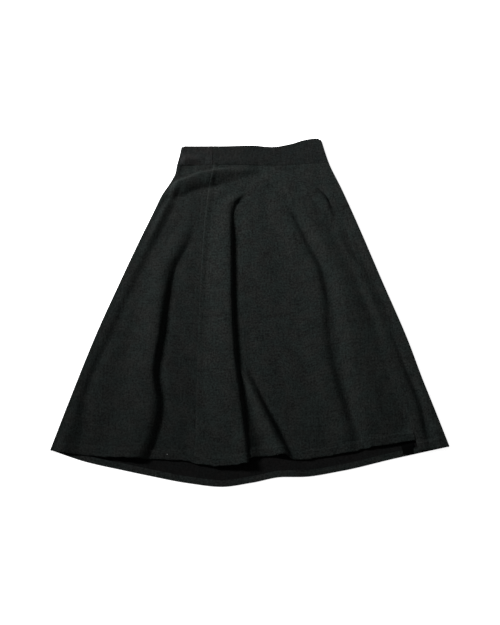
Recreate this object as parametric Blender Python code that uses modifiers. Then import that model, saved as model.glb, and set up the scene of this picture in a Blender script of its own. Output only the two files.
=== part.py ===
"""A long flared skirt of black wool cloth, laid flat on its back.

Six panels hang from a straight waistband. The front lies on the back in long soft folds. The back is longer,
so its inside shows below the front hem, and on the right it rolls round the edge onto the front, as far as the
right side seam and the vent. Left and right are as seen from above with the waist at the top.

Tables are in millimetres. DOWN runs from the top of the waistband towards the hem, ACROSS from the middle of
the skirt to the right, and height up from the table. The skirt's middle is at the origin.
"""

from collections import namedtuple

import bmesh
import bpy
import numpy as np

MM = 0.001

CLOTH = 2.0
BAND_CLOTH = 3.0
FACING_CLOTH = 1.0
FACING_EASE = 20.0
FACING_MARGIN = 4.0
SEAM_GAP = 0.3
LAYER_GAP = 0.4
HEM_TURN = 18.0
HEM_STEP = 3.0
HEM_SPARE = 0.8
HEM_EASE = 8.0
HEM_ROWS = 2
MIDDLE_DOWN = 445.0
MIDDLE_ACROSS = -0.49

PUFF = 2.6
BAND_PUFF = 0.6
EDGE_EASE = 34.0
ROLL_AT_WAIST = 4.4
ROLL_AT_HEM = 6.5
ROLL_WAIST_DOWN = 60.0
ROLL_HEM_DOWN = 800.0
QUARTER_TURN = 3
SEAM_UPRIGHT = 0.8
SHARP_ANGLE = 50.0

# The panels start level with the band, over this width, and take up their folds over the next.
LEVEL_START = 3.0
FOLD_START = 14.0

# Rows of the panels: close together where the arched fold crosses under the band, wider apart below it.
TOP_ROWS = 11
TOP_SHARE = 0.15
LOW_ROWS = 15
BAND_ROWS = 4

# Columns across the pieces without long folds. On the others, even columns before, between and after the folds.
FRONT_RIGHT_COLUMNS = 13
BACK_LEFT_COLUMNS = 4
BACK_CENTRE_COLUMNS = 8
BACK_RIGHT_COLUMNS = 6
BAND_SIDE_COLUMNS = 6
BAND_CENTRE_COLUMNS = 8
BAND_BACK_COLUMNS = 16
FRONT_LEFT_SPARE = (4, 5)
FRONT_CENTRE_SPARE = (0, 1, 5)
FACING_ROWS = 15
FACING_COLUMNS = 5

Course = namedtuple("Course", "down across")
Level = namedtuple("Level", "across down")

LEFT_EDGE = (
    Course(0, -178),
    Course(37, -185),
    Course(62, -191),
    Course(82, -194),
    Course(103, -203),
    Course(147, -229),
    Course(189, -247),
    Course(267, -281),
    Course(378, -327),
    Course(523, -385),
    Course(706, -449),
    Course(820, -487),
)
RIGHT_EDGE = (
    Course(-12, 187),
    Course(54, 206),
    Course(128, 238),
    Course(234, 280),
    Course(378, 334),
    Course(536, 394),
    Course(632, 425),
    Course(721, 456),
    Course(806, 485),
)
LEFT_FRONT_SEAM = (
    Course(0, -96),
    Course(60, -96),
    Course(131, -108),
    Course(242, -119),
    Course(391, -126),
    Course(536, -130),
    Course(741, -133),
    Course(860, -138),
)
RIGHT_FRONT_SEAM = (
    Course(-12, 82),
    Course(60, 83),
    Course(159, 98),
    Course(324, 112),
    Course(471, 137),
    Course(562, 147),
    Course(690, 155),
    Course(860, 161),
)
RIGHT_SIDE_SEAM = (
    Course(50, 184),
    Course(200, 235),
    Course(351, 280),
    Course(489, 319),
    Course(640, 361),
    Course(820, 410),
)
LEFT_BACK_SEAM = (Course(60, -92), Course(440, -168), Course(885, -244))
RIGHT_BACK_SEAM = (Course(60, 85), Course(440, 98), Course(885, 112))

WAIST_TOP = (
    Level(-178, 8),
    Level(-168, 6),
    Level(-80, 6),
    Level(5, 4),
    Level(58, 8),
    Level(105, 0),
    Level(142, -11),
    Level(172, -16),
    Level(190, -10),
)
# The seam under the band runs straight between the panels' seams.
BAND_SEAM = (Level(-191, 62), Level(-96, 61.5), Level(83, 61.5), Level(206, 54))
FRONT_HEM = (
    Level(-487, 814),
    Level(-432, 825),
    Level(-305, 835),
    Level(-204, 840),
    Level(-157, 842),
    Level(-136, 849),
    Level(-102, 855),
    Level(-70, 857),
    Level(-39, 853),
    Level(-12, 848),
    Level(0, 836),
    Level(40, 831),
    Level(78, 828),
    Level(92, 831),
    Level(107, 839),
    Level(121, 839),
    Level(179, 833),
    Level(248, 820),
    Level(299, 808),
    Level(362, 798),
    Level(410, 792),
)
BACK_HEM = (
    Level(-487, 814),
    Level(-398, 844),
    Level(-305, 865),
    Level(-244, 878),
    Level(-150, 896),
    Level(-68, 905),
    Level(5, 895),
    Level(82, 881),
    Level(121, 881),
    Level(218, 867),
    Level(350, 836),
    Level(485, 806),
)
WRAPPED_HEM = (Level(400, 818), Level(440, 814), Level(485, 806))
VENT_FACING_LEFT = (Course(782, 364), Course(826, 372))
VENT_FACING_RIGHT = (Course(782, 398), Course(826, 396))

# A fold's foot follows its course. Its crest stands at the distance "fall" from the foot, "height" above the
# cloth around it, and "rise" is the width of its other slope. "press" is how far the foot is pressed down into
# the puffed cloth, and "lean" how far the crest leans out over the foot.
Fold = namedtuple("Fold", "down across height rise fall press lean")

FOLD_LEFT_OF_MIDDLE = (
    Fold(140, -12, 0, 30, 12, 0.0, 0),
    Fold(152, -32, 4, 34, 12, 1.5, 2),
    Fold(176, -44, 9, 40, 14, 2.4, 5),
    Fold(228, -49, 13, 46, 15, 2.4, 7),
    Fold(431, -43, 15, 54, 16, 2.4, 8),
    Fold(575, -33, 16, 62, 17, 2.4, 8),
    Fold(678, -18, 18, 76, 18, 2.4, 8),
    Fold(791, -7, 22, 96, 20, 2.4, 9),
    Fold(860, -1, 25, 108, 22, 2.4, 10),
)
FOLD_LEFT = (
    Fold(236, -152, 0, 30, 16, 0.0, 0),
    Fold(280, -178, 5, 36, 20, 1.5, 1),
    Fold(351, -203, 11, 44, 22, 2.4, 4),
    Fold(458, -216, 14, 50, 22, 2.4, 6),
    Fold(601, -227, 16, 56, 22, 2.4, 6),
    Fold(660, -227, 17, 58, 23, 2.4, 5),
    Fold(721, -210, 19, 62, 28, 2.4, 4),
    Fold(791, -222, 22, 70, 30, 2.4, 4),
    Fold(860, -256, 25, 78, 30, 2.4, 4),
)
FOLD_AT_HEM = (
    Fold(606, -4, 0, 16, 14, 0.0, 0),
    Fold(640, 10, 3, 20, 18, 1.5, 0),
    Fold(683, 30, 8, 24, 24, 2.4, 2),
    Fold(753, 64, 13, 30, 30, 2.4, 3),
    Fold(791, 80, 16, 34, 34, 2.4, 4),
    Fold(860, 108, 19, 40, 40, 2.4, 5),
)
FOLD_RIGHT = (
    Fold(140, 98, 0.0, 20, 16, 0.0, 0),
    Fold(214, 128, 1.5, 26, 24, 1.8, 0),
    Fold(297, 160, 3.5, 30, 28, 2.4, 0),
    Fold(378, 190, 4.0, 32, 28, 2.4, 0),
    Fold(549, 207, 3.5, 32, 26, 2.4, 0),
    Fold(690, 233, 4.5, 34, 24, 2.4, 0),
    Fold(860, 266, 6.0, 38, 24, 2.4, 0),
)
FOLD_RIGHT_SIDE = (
    Fold(160, 200, 0.0, 24, 16, 0.0, 0),
    Fold(269, 217, 1.5, 26, 20, 1.8, 0),
    Fold(351, 254, 2.0, 28, 22, 2.2, 0),
    Fold(489, 309, 2.5, 30, 22, 2.2, 0),
    Fold(560, 330, 0.0, 30, 22, 0.0, 0),
)
FOLD_RIGHT_EDGE = (
    Fold(500, 348, 0.0, 16, 12, 0.0, 0),
    Fold(575, 373, 2.0, 18, 14, 1.4, 0),
    Fold(678, 412, 3.5, 18, 16, 2.4, 0),
    Fold(766, 432, 4.5, 20, 18, 2.4, 0),
    Fold(860, 452, 5.0, 22, 20, 2.4, 0),
)
FOLD_LEFT_EDGE = (
    Fold(110, -190, 0.0, 12, 10, 0.0, 0),
    Fold(187, -219, 2.0, 16, 14, 1.6, 0),
    Fold(351, -283, 2.5, 18, 18, 2.2, 0),
    Fold(583, -377, 3.0, 18, 18, 2.4, 0),
    Fold(860, -458, 3.5, 20, 20, 2.4, 0),
)
# The crest stands left of the foot on these, and right of it on the others.
CREST_LEFT = (FOLD_LEFT_OF_MIDDLE, FOLD_LEFT, FOLD_AT_HEM, FOLD_LEFT_EDGE)
CREST_RIGHT = (FOLD_RIGHT, FOLD_RIGHT_SIDE, FOLD_RIGHT_EDGE)

# The arched fold under the band, where the straight band pulls on the curved top of the panels.
Arch = namedtuple("Arch", "across down height rise fall press")
ARCHED_FOLD = (
    Arch(-200, 138, 4.5, 26, 32, 2.4),
    Arch(-166, 131, 5.5, 30, 34, 2.4),
    Arch(-130, 114, 5.5, 20, 32, 2.4),
    Arch(-96, 107, 5.0, 10, 32, 2.4),
    Arch(-52, 84, 2.5, 6, 16, 2.4),
    Arch(-10, 72, 0.0, 8, 8, 1.8),
    Arch(60, 72, 0.0, 8, 8, 1.6),
    Arch(109, 88, 2.0, 14, 14, 2.2),
    Arch(140, 106, 3.5, 20, 18, 2.4),
    Arch(186, 146, 3.0, 22, 18, 2.2),
    Arch(215, 196, 0.0, 22, 18, 0.0),
)
PRESS_WIDTH = 16.0

# Where columns of a panel run along a fold, as shares of its slopes from the foot, and beyond the foot.
RISE_SHARES = (0.75, 0.45, 0.2)
FALL_SHARES = (1.0, 0.66, 0.33, 0.0)
BEYOND_FOOT = (9.0, 24.0)
LEAST_COLUMN = 2.5
SEAM_COLUMN = 4.0

FACING_BLACK = (0.006, 0.007, 0.007, 1.0)
WOOL_BLACK = (0.014, 0.017, 0.016, 1.0)
WOOL_ROUGHNESS = 0.85


def clear_scene():
    for thing in list(bpy.data.objects):
        bpy.data.objects.remove(thing, do_unlink=True)


def through(places, values, at):
    """A smooth curve through a table's rows, which never swings past them. Beyond its ends it stays level."""
    places = np.asarray(places, float)
    values = np.asarray(values, float)
    at = np.clip(at, places[0], places[-1])
    steps = np.diff(places)
    slopes = np.diff(values) / steps
    product = slopes[:-1] * slopes[1:]
    total = slopes[:-1] + slopes[1:]
    turning = product <= 0
    inner = np.where(turning, 0.0, 2 * product / np.where(turning, 1.0, total))
    tangents = np.concatenate([slopes[:1], inner, slopes[-1:]])
    i = np.clip(np.searchsorted(places, at) - 1, 0, len(steps) - 1)
    t = (at - places[i]) / steps[i]
    rise = values[i + 1] - values[i]
    curve = rise * t * t * (3 - 2 * t)
    curve += steps[i] * t * (1 - t) * (tangents[i] * (1 - t) - tangents[i + 1] * t)
    return values[i] + curve


def across_at(course, down):
    return through([row.down for row in course], [row.across for row in course], down)


def down_at(level, across):
    return through([row.across for row in level], [row.down for row in level], across)


def band_seam_at(across):
    return np.interp(across, [row.across for row in BAND_SEAM], [row.down for row in BAND_SEAM])


def ease(share):
    share = np.clip(share, 0.0, 1.0)
    return share * share * (3 - 2 * share)


def crest(distance, rise, fall):
    """Height of a fold, from 0 to 1, at a distance before its foot: up the fall to the crest, then down the rise."""
    return np.where(distance < fall, ease(distance / fall), ease((fall + rise - distance) / rise))


def roll_radius(down):
    share = (down - ROLL_WAIST_DOWN) / (ROLL_HEM_DOWN - ROLL_WAIST_DOWN)
    return ROLL_AT_WAIST + (ROLL_AT_HEM - ROLL_AT_WAIST) * np.clip(share, 0.0, 1.0)


def fold_values(fold, down):
    """Each column of a fold's table, read off at these distances down the skirt."""
    downs = [row.down for row in fold]
    columns = {name: [getattr(row, name) for row in fold] for name in Fold._fields[1:]}
    return {name: through(downs, values, down) for name, values in columns.items()}


def folds_at(across, down):
    """How much the folds lift the front, how much of its puff they press away, and how far they lean right."""
    lift = np.zeros_like(across)
    pressed = np.zeros_like(across)
    lean = np.zeros_like(across)
    for side, folds in ((1.0, CREST_LEFT), (-1.0, CREST_RIGHT)):
        for fold in folds:
            row = fold_values(fold, down)
            before = side * (row["across"] - across)
            shape = crest(before, row["rise"], row["fall"])
            lift += row["height"] * shape
            lean += side * row["lean"] * shape
            pressed = np.maximum(pressed, row["press"] * np.exp(-((before / PRESS_WIDTH) ** 2)))
    places = [row.across for row in ARCHED_FOLD]
    arch = {name: through(places, [getattr(row, name) for row in ARCHED_FOLD], across) for name in Arch._fields}
    above = arch["down"] - down
    lift += arch["height"] * crest(above, arch["rise"], arch["fall"])
    pressed = np.maximum(pressed, arch["press"] * np.exp(-((above / PRESS_WIDTH) ** 2)))
    free = ease((down - band_seam_at(across) - LEVEL_START) / FOLD_START)
    return lift * free, pressed * free, lean * free


def over_back(across, down):
    """Height of what lies on the back: on one cloth, and on two from just before its turned-up hem."""
    turned = ease((down - (down_at(BACK_HEM, across) - HEM_TURN - HEM_EASE)) / HEM_STEP)
    return CLOTH * (1.0 + turned) + LAYER_GAP


def over_vent_facing(across, down):
    """How much of the vent facing lies under the front at this place, from 0 to 1."""
    corner = VENT_FACING_LEFT[0]
    before = FACING_EASE + FACING_MARGIN
    beside = ease((across - corner.across + before) / FACING_EASE)
    return beside * ease((down - corner.down + before) / FACING_EASE)


def front_surface(across, down, wall):
    """Outer face of the front layer, (across, down, height), where its wall is this thick."""
    lift, pressed, lean = folds_at(across, down)
    left = across_at(LEFT_EDGE, down)
    right = across_at(RIGHT_EDGE, down)
    radius = roll_radius(down)
    under = over_back(across, down) + (FACING_CLOTH + LAYER_GAP) * over_vent_facing(across, down)
    height = under + wall + PUFF - pressed + lift
    from_edge = np.minimum(across - left, right - across) - radius
    share = ease(from_edge / EDGE_EASE)
    height = 2 * radius + (height - 2 * radius) * share
    return stack(across + lean * share, down, height)


def rolled_over(down):
    """Points round the right edge, from the top of the roll to under it."""
    radius = roll_radius(down)[:, None]
    angles = np.radians(np.linspace(0.0, 180.0, 2 * QUARTER_TURN + 1))
    across = across_at(RIGHT_EDGE, down)[:, None] - radius * (1 - np.sin(angles))
    return stack(across, down[:, None], radius * (1 + np.cos(angles)))


def rolled_to_seam(edge, side, down, upper):
    """Points from the top of an edge's roll, or from under it, to a seam that runs along the middle of the edge."""
    radius = roll_radius(down)[:, None]
    bend = radius - SEAM_UPRIGHT
    angles = np.radians(np.linspace(0.0, 90.0, QUARTER_TURN + 1))
    across = across_at(edge, down)[:, None] - side * bend * (1 - np.sin(angles))
    above = radius - bend + bend * np.cos(angles)
    across = np.concatenate([across, across[:, -1:]], axis=1)
    above = np.concatenate([above, np.full_like(radius, SEAM_GAP / 2)], axis=1)
    return stack(across, down[:, None], radius + above if upper else radius - above)


def stack(across, down, height):
    return np.stack(np.broadcast_arrays(across, down, height), axis=-1)


def row_shares(length):
    """Places of a panel's rows from 0 at its top to 1 at its hem, the last ones on the edge of the turned-up hem."""
    turn = 1.0 - HEM_TURN / length
    upper = np.linspace(LEVEL_START / length, TOP_SHARE, TOP_ROWS, endpoint=False)
    lower = np.linspace(TOP_SHARE, turn - HEM_STEP / length, LOW_ROWS)
    return np.concatenate([[0.0], upper, lower, [turn, 1.0]])


def right_of(seam, down):
    return across_at(seam, down) + SEAM_GAP / 2


def left_of(seam, down):
    return across_at(seam, down) - SEAM_GAP / 2


def end_of_left_roll(edge, down):
    return across_at(edge, down) + roll_radius(down)


def end_of_right_roll(edge, down):
    return across_at(edge, down) - roll_radius(down)


def between_seams(left, right):
    """A function of DOWN that gives a stretch's two ends."""
    return lambda down: (right_of(left, down), left_of(right, down))


def from_left_roll(right):
    return lambda down: (end_of_left_roll(LEFT_EDGE, down), left_of(right, down))


def to_right_roll(left):
    return lambda down: (right_of(left, down), end_of_right_roll(RIGHT_EDGE, down))


def between_rolls(down):
    return end_of_left_roll(LEFT_EDGE, down), end_of_right_roll(RIGHT_EDGE, down)


def even_columns(ends, columns):
    """A function of DOWN that gives the places of evenly spaced columns between a stretch's two ends."""

    def places_at(down):
        first, last = ends(down)
        inner = np.linspace(first + SEAM_COLUMN, last - SEAM_COLUMN, columns - 1)
        return np.concatenate([[first], inner, [last]])

    return places_at


def fold_columns(ends, folds, spare):
    """The same with columns along each fold, and "spare" even ones before, between and after the folds."""

    def places_at(down):
        first, last = ends(down)
        places = [float(first), float(first) + SEAM_COLUMN]
        for fold, space in zip(folds, spare):
            row = {name: float(value) for name, value in fold_values(fold, down).items()}
            along = [row["across"] - row["fall"] - share * row["rise"] for share in RISE_SHARES]
            along += [row["across"] - share * row["fall"] for share in FALL_SHARES]
            along += [row["across"] + more for more in BEYOND_FOOT]
            places += list(np.linspace(places[-1], along[0], space + 2)[1:-1]) + along
        places += list(np.linspace(places[-1], last - SEAM_COLUMN, spare[-1] + 2)[1:]) + [float(last)]
        for i in range(1, len(places)):
            places[i] = max(places[i], places[i - 1] + LEAST_COLUMN)
        places[-2:] = [float(last) - SEAM_COLUMN, float(last)]
        for i in range(len(places) - 3, 1, -1):
            places[i] = min(places[i], places[i + 1] - LEAST_COLUMN)
        return np.array(places)

    return places_at


def flat_grid(columns, hem):
    """(across, down) of a stretch's points: each column runs from the band's seam to the hem."""
    tops = band_seam_at(columns(BAND_SEAM[0].down)) + SEAM_GAP / 2
    hems = down_at(hem, columns(hem[0].down))
    shares = np.stack([row_shares(length) for length in hems - tops], axis=1)
    down = tops + (hems - tops) * shares
    across = np.array([[columns(place)[j] for j, place in enumerate(row)] for row in down])
    return across, down


def front_points(columns, hem):
    across, down = flat_grid(columns, hem)
    wall = np.full(across.shape, CLOTH)
    wall[-HEM_ROWS:] = 2 * CLOTH + HEM_SPARE
    return front_surface(across, down, wall)


def back_points(columns):
    """Points of the back's outer face, which lies on the table. They run from right to left, so that it faces down."""
    across, down = flat_grid(columns, BACK_HEM)
    return stack(across, down, 0.0)[:, ::-1]


def new_material(name, colour):
    material = bpy.data.materials.new(name)
    material.use_nodes = True
    shader = material.node_tree.nodes["Principled BSDF"]
    shader.inputs["Base Color"].default_value = colour
    shader.inputs["Roughness"].default_value = WOOL_ROUGHNESS
    shader.inputs["Metallic"].default_value = 0.0
    return material


def cloth_piece(name, points, wall, material, collection, hem_rows=0):
    """A wall of cloth inside a grid of outer points, rows by columns. It is double on its hem's rows."""
    rows, columns = points.shape[:2]
    grid = bmesh.new()
    bmesh.ops.create_grid(grid, x_segments=columns - 1, y_segments=rows - 1, size=1.0)
    # The grid's own points run row by row from its near side, which becomes the hem.
    for vertex, (across, down, height) in zip(grid.verts, points[::-1].reshape(-1, 3)):
        vertex.co = ((across - MIDDLE_ACROSS) * MM, (MIDDLE_DOWN - down) * MM, height * MM)
    mesh = bpy.data.meshes.new(name)
    grid.to_mesh(mesh)
    grid.free()
    mesh.materials.append(material)
    piece = bpy.data.objects.new(name, mesh)
    collection.objects.link(piece)
    solidify = piece.modifiers.new("Cloth", "SOLIDIFY")
    solidify.offset = -1.0
    solidify.use_even_offset = True
    solidify.thickness = wall * MM
    if hem_rows:
        turned = piece.vertex_groups.new(name="turned_up_hem")
        turned.add(list(range(hem_rows * columns)), 1.0, "REPLACE")
        solidify.vertex_group = turned.name
        solidify.thickness_vertex_group = 0.5
        solidify.thickness = 2 * wall * MM
    mesh.shade_smooth()
    mesh.set_sharp_from_angle(angle=np.radians(SHARP_ANGLE))
    return piece


def panel(name, points, wool, collection):
    cloth_piece(name, points, CLOTH, wool, collection, hem_rows=HEM_ROWS)


def add_front_panels(wool, collection):
    left = fold_columns(from_left_roll(LEFT_FRONT_SEAM), (FOLD_LEFT,), FRONT_LEFT_SPARE)
    flat = front_points(left, FRONT_HEM)
    edge = rolled_to_seam(LEFT_EDGE, -1.0, flat[:, 0, 1], upper=True)
    panel("front_left_panel", np.concatenate([edge[:, :0:-1], flat], axis=1), wool, collection)
    centre_ends = between_seams(LEFT_FRONT_SEAM, RIGHT_FRONT_SEAM)
    centre = fold_columns(centre_ends, (FOLD_LEFT_OF_MIDDLE, FOLD_AT_HEM), FRONT_CENTRE_SPARE)
    panel("front_centre_panel", front_points(centre, FRONT_HEM), wool, collection)
    right = even_columns(between_seams(RIGHT_FRONT_SEAM, RIGHT_SIDE_SEAM), FRONT_RIGHT_COLUMNS)
    panel("front_right_panel", front_points(right, FRONT_HEM), wool, collection)


def add_back_panels(wool, collection):
    left = even_columns(from_left_roll(LEFT_BACK_SEAM), BACK_LEFT_COLUMNS)
    flat = back_points(left)
    edge = rolled_to_seam(LEFT_EDGE, -1.0, flat[:, -1, 1], upper=False)
    panel("back_left_panel", np.concatenate([flat, edge[:, 1:]], axis=1), wool, collection)
    centre = even_columns(between_seams(LEFT_BACK_SEAM, RIGHT_BACK_SEAM), BACK_CENTRE_COLUMNS)
    panel("back_centre_panel", back_points(centre), wool, collection)
    wrapped = even_columns(to_right_roll(RIGHT_SIDE_SEAM), BACK_RIGHT_COLUMNS)
    front = front_points(wrapped, WRAPPED_HEM)
    edge = rolled_over(front[:, -1, 1])
    right = back_points(even_columns(to_right_roll(RIGHT_BACK_SEAM), BACK_RIGHT_COLUMNS))
    panel("back_right_panel", np.concatenate([front, edge[:, 1:-1], right], axis=1), wool, collection)


def band_grid(columns):
    tops = down_at(WAIST_TOP, columns(WAIST_TOP[0].down))
    seams = band_seam_at(columns(BAND_SEAM[0].down)) - SEAM_GAP / 2
    down = tops + (seams - tops) * np.linspace(0.0, 1.0, BAND_ROWS + 1)[:, None]
    across = np.array([[columns(place)[j] for j, place in enumerate(row)] for row in down])
    return across, down


def band_front_points(columns):
    across, down = band_grid(columns)
    from_edge = np.minimum(across - across_at(LEFT_EDGE, down), across_at(RIGHT_EDGE, down) - across)
    share = ease((from_edge - roll_radius(down)) / EDGE_EASE)
    flat_height = 2 * BAND_CLOTH + LAYER_GAP + BAND_PUFF
    edge_height = 2 * roll_radius(down)
    return stack(across, down, edge_height + (flat_height - edge_height) * share)


def add_waistband(wool, collection):
    left = band_front_points(even_columns(from_left_roll(LEFT_FRONT_SEAM), BAND_SIDE_COLUMNS))
    edge = rolled_to_seam(LEFT_EDGE, -1.0, left[:, 0, 1], upper=True)
    points = np.concatenate([edge[:, :0:-1], left], axis=1)
    cloth_piece("band_front_left", points, BAND_CLOTH, wool, collection)
    centre = even_columns(between_seams(LEFT_FRONT_SEAM, RIGHT_FRONT_SEAM), BAND_CENTRE_COLUMNS)
    cloth_piece("band_front_centre", band_front_points(centre), BAND_CLOTH, wool, collection)
    right = band_front_points(even_columns(to_right_roll(RIGHT_FRONT_SEAM), BAND_SIDE_COLUMNS))
    edge = rolled_to_seam(RIGHT_EDGE, 1.0, right[:, -1, 1], upper=True)
    points = np.concatenate([right, edge[:, 1:]], axis=1)
    cloth_piece("band_front_right", points, BAND_CLOTH, wool, collection)
    across, down = band_grid(even_columns(between_rolls, BAND_BACK_COLUMNS))
    back = stack(across, down, 0.0)[:, ::-1]
    right_edge = rolled_to_seam(RIGHT_EDGE, 1.0, back[:, 0, 1], upper=False)
    left_edge = rolled_to_seam(LEFT_EDGE, -1.0, back[:, -1, 1], upper=False)
    points = np.concatenate([right_edge[:, :0:-1], back, left_edge[:, 1:]], axis=1)
    cloth_piece("band_back", points, BAND_CLOTH, wool, collection)


def add_vent_facing(facing, collection):
    """A small piece on the inside of the back, over its turned-up hem, beside the vent."""
    down = np.linspace(VENT_FACING_LEFT[0].down, VENT_FACING_LEFT[-1].down, FACING_ROWS)[:, None]
    left = across_at(VENT_FACING_LEFT, down)
    width = across_at(VENT_FACING_RIGHT, down) - left
    across = left + width * np.linspace(0.0, 1.0, FACING_COLUMNS)
    height = over_back(across, down) + FACING_CLOTH
    cloth_piece("vent_facing", stack(across, down, height), FACING_CLOTH, facing, collection)


def main():
    clear_scene()
    collection = bpy.data.collections.new("maxi_skirt")
    bpy.context.scene.collection.children.link(collection)
    wool = new_material("black_wool", WOOL_BLACK)
    facing = new_material("black_facing", FACING_BLACK)
    add_front_panels(wool, collection)
    add_back_panels(wool, collection)
    add_waistband(wool, collection)
    add_vent_facing(facing, collection)


main()
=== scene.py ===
"""A long flared skirt of black wool cloth, laid flat on its back on a pale floor.

Each solid of the frame is covered by a finer cloth shell of the same shape, with pressed seams, turned-up
hems, creases and wrinkles. Tables are in millimetres. DOWN runs from the top of the waistband towards the
hem, ACROSS from the middle of the skirt to the right, and height up from the floor. Left and right are as
seen from above with the waist at the top.
"""

from collections import namedtuple

import bpy
import numpy as np
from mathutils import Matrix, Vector


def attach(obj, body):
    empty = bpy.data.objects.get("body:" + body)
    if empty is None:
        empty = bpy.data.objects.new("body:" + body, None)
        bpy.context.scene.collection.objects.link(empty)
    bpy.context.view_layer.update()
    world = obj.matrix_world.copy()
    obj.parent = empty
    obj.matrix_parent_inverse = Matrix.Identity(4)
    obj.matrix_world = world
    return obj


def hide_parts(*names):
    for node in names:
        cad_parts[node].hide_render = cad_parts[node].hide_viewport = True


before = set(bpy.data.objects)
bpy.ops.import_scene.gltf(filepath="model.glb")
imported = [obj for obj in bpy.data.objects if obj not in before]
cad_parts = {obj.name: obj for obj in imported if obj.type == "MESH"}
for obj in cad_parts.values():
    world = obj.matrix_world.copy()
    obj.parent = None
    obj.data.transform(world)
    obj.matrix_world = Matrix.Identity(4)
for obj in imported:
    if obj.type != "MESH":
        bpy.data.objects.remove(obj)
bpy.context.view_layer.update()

MM = 0.001

# Walls of cloth, and the space between two layers.
CLOTH = 2.0
BAND_CLOTH = 3.0
FACING_CLOTH = 1.0
LAYER_GAP = 0.4

# Where the frame's middle lies in the tables.
MIDDLE_DOWN = 445.0
MIDDLE_ACROSS = -0.49

# The turned-up hems, and the widths over which the front rises over them and over the vent facing.
HEM_TURN = 18.0
HEM_SPARE = 0.8
HEM_EASE = 8.0
HEM_STEP = 3.0
DOUBLING = 7.0
FACING_EASE = 20.0
FACING_MARGIN = 4.0

# How far the front stands off what is under it. It settles towards its hem.
PUFF = 2.6
PUFF_AT_HEM = 0.5
LEAST_PUFF = 0.1
SETTLING = 90.0
BAND_PUFF = 0.6

# The rolled edges, and the widths over which the front comes up from them. On the left this grows from the
# waist on.
ROLL_AT_WAIST = 4.2
ROLL_AT_HEM = 4.9
ROLL_WAIST_DOWN = 60.0
ROLL_HEM_DOWN = 800.0
LEFT_EASE_AT_WAIST = 14.0
LEFT_EASE = 34.0
LEFT_EASE_FROM = 60.0
LEFT_EASE_TO = 300.0
RIGHT_EASE = 22.0

# The panels start level with the band, over this width, and take up their folds over the next.
LEVEL_START = 3.0
FOLD_START = 14.0

Course = namedtuple("Course", "down across")
Level = namedtuple("Level", "across down")

LEFT_EDGE = (
    Course(0, -178),
    Course(37, -185),
    Course(62, -191),
    Course(82, -194),
    Course(103, -203),
    Course(147, -229),
    Course(189, -247),
    Course(267, -281),
    Course(378, -327),
    Course(523, -385),
    Course(706, -449),
    Course(820, -487),
)
RIGHT_EDGE = (
    Course(-12, 187),
    Course(54, 206),
    Course(128, 238),
    Course(234, 280),
    Course(378, 334),
    Course(536, 394),
    Course(632, 425),
    Course(721, 456),
    Course(806, 485),
)
LEFT_FRONT_SEAM = (
    Course(0, -96),
    Course(60, -96),
    Course(131, -108),
    Course(242, -119),
    Course(391, -126),
    Course(536, -130),
    Course(741, -133),
    Course(860, -138),
)
RIGHT_FRONT_SEAM = (
    Course(-12, 82),
    Course(60, 83),
    Course(159, 98),
    Course(324, 112),
    Course(471, 137),
    Course(562, 147),
    Course(690, 155),
    Course(860, 161),
)
RIGHT_SIDE_SEAM = (
    Course(50, 184),
    Course(200, 235),
    Course(351, 280),
    Course(489, 319),
    Course(640, 361),
    Course(820, 410),
)
LEFT_BACK_SEAM = (Course(60, -92), Course(440, -168), Course(885, -244))
RIGHT_BACK_SEAM = (Course(60, 85), Course(440, 98), Course(885, 112))

WAIST_TOP = (
    Level(-179, 15),
    Level(-175, 9.5),
    Level(-168, 6),
    Level(-80, 6),
    Level(5, 4),
    Level(58, 8),
    Level(105, 0),
    Level(142, -11),
    Level(172, -16),
    Level(183, -14.5),
    Level(190, -8),
)
# The seam under the band runs straight between the panels' seams.
BAND_SEAM = (Level(-191, 62), Level(-96, 61.5), Level(83, 61.5), Level(206, 54))
FRONT_HEM = (
    Level(-487, 814),
    Level(-432, 825),
    Level(-305, 835),
    Level(-204, 840),
    Level(-157, 842),
    Level(-136, 849),
    Level(-102, 855),
    Level(-70, 857),
    Level(-39, 853),
    Level(-12, 848),
    Level(0, 836),
    Level(40, 831),
    Level(78, 828),
    Level(92, 831),
    Level(107, 839),
    Level(121, 839),
    Level(179, 833),
    Level(248, 820),
    Level(299, 808),
    Level(362, 798),
    Level(410, 792),
)
BACK_HEM = (
    Level(-487, 814),
    Level(-398, 844),
    Level(-305, 865),
    Level(-244, 878),
    Level(-150, 896),
    Level(-68, 905),
    Level(5, 895),
    Level(82, 881),
    Level(121, 881),
    Level(218, 867),
    Level(350, 836),
    Level(485, 806),
)
WRAPPED_HEM = (Level(400, 818), Level(440, 814), Level(485, 806))
VENT_FACING_LEFT = (Course(782, 364), Course(826, 372))
VENT_FACING_RIGHT = (Course(782, 398), Course(826, 396))

# A fold's foot follows its course. Its crest stands at the distance "fall" from the foot, "height" above the
# cloth around it, and "rise" is the width of its other slope. "press" is how far the foot is pressed down
# into the puffed cloth, and "lean" how far the crest leans out over the foot.
Fold = namedtuple("Fold", "down across height rise fall press lean")

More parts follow.
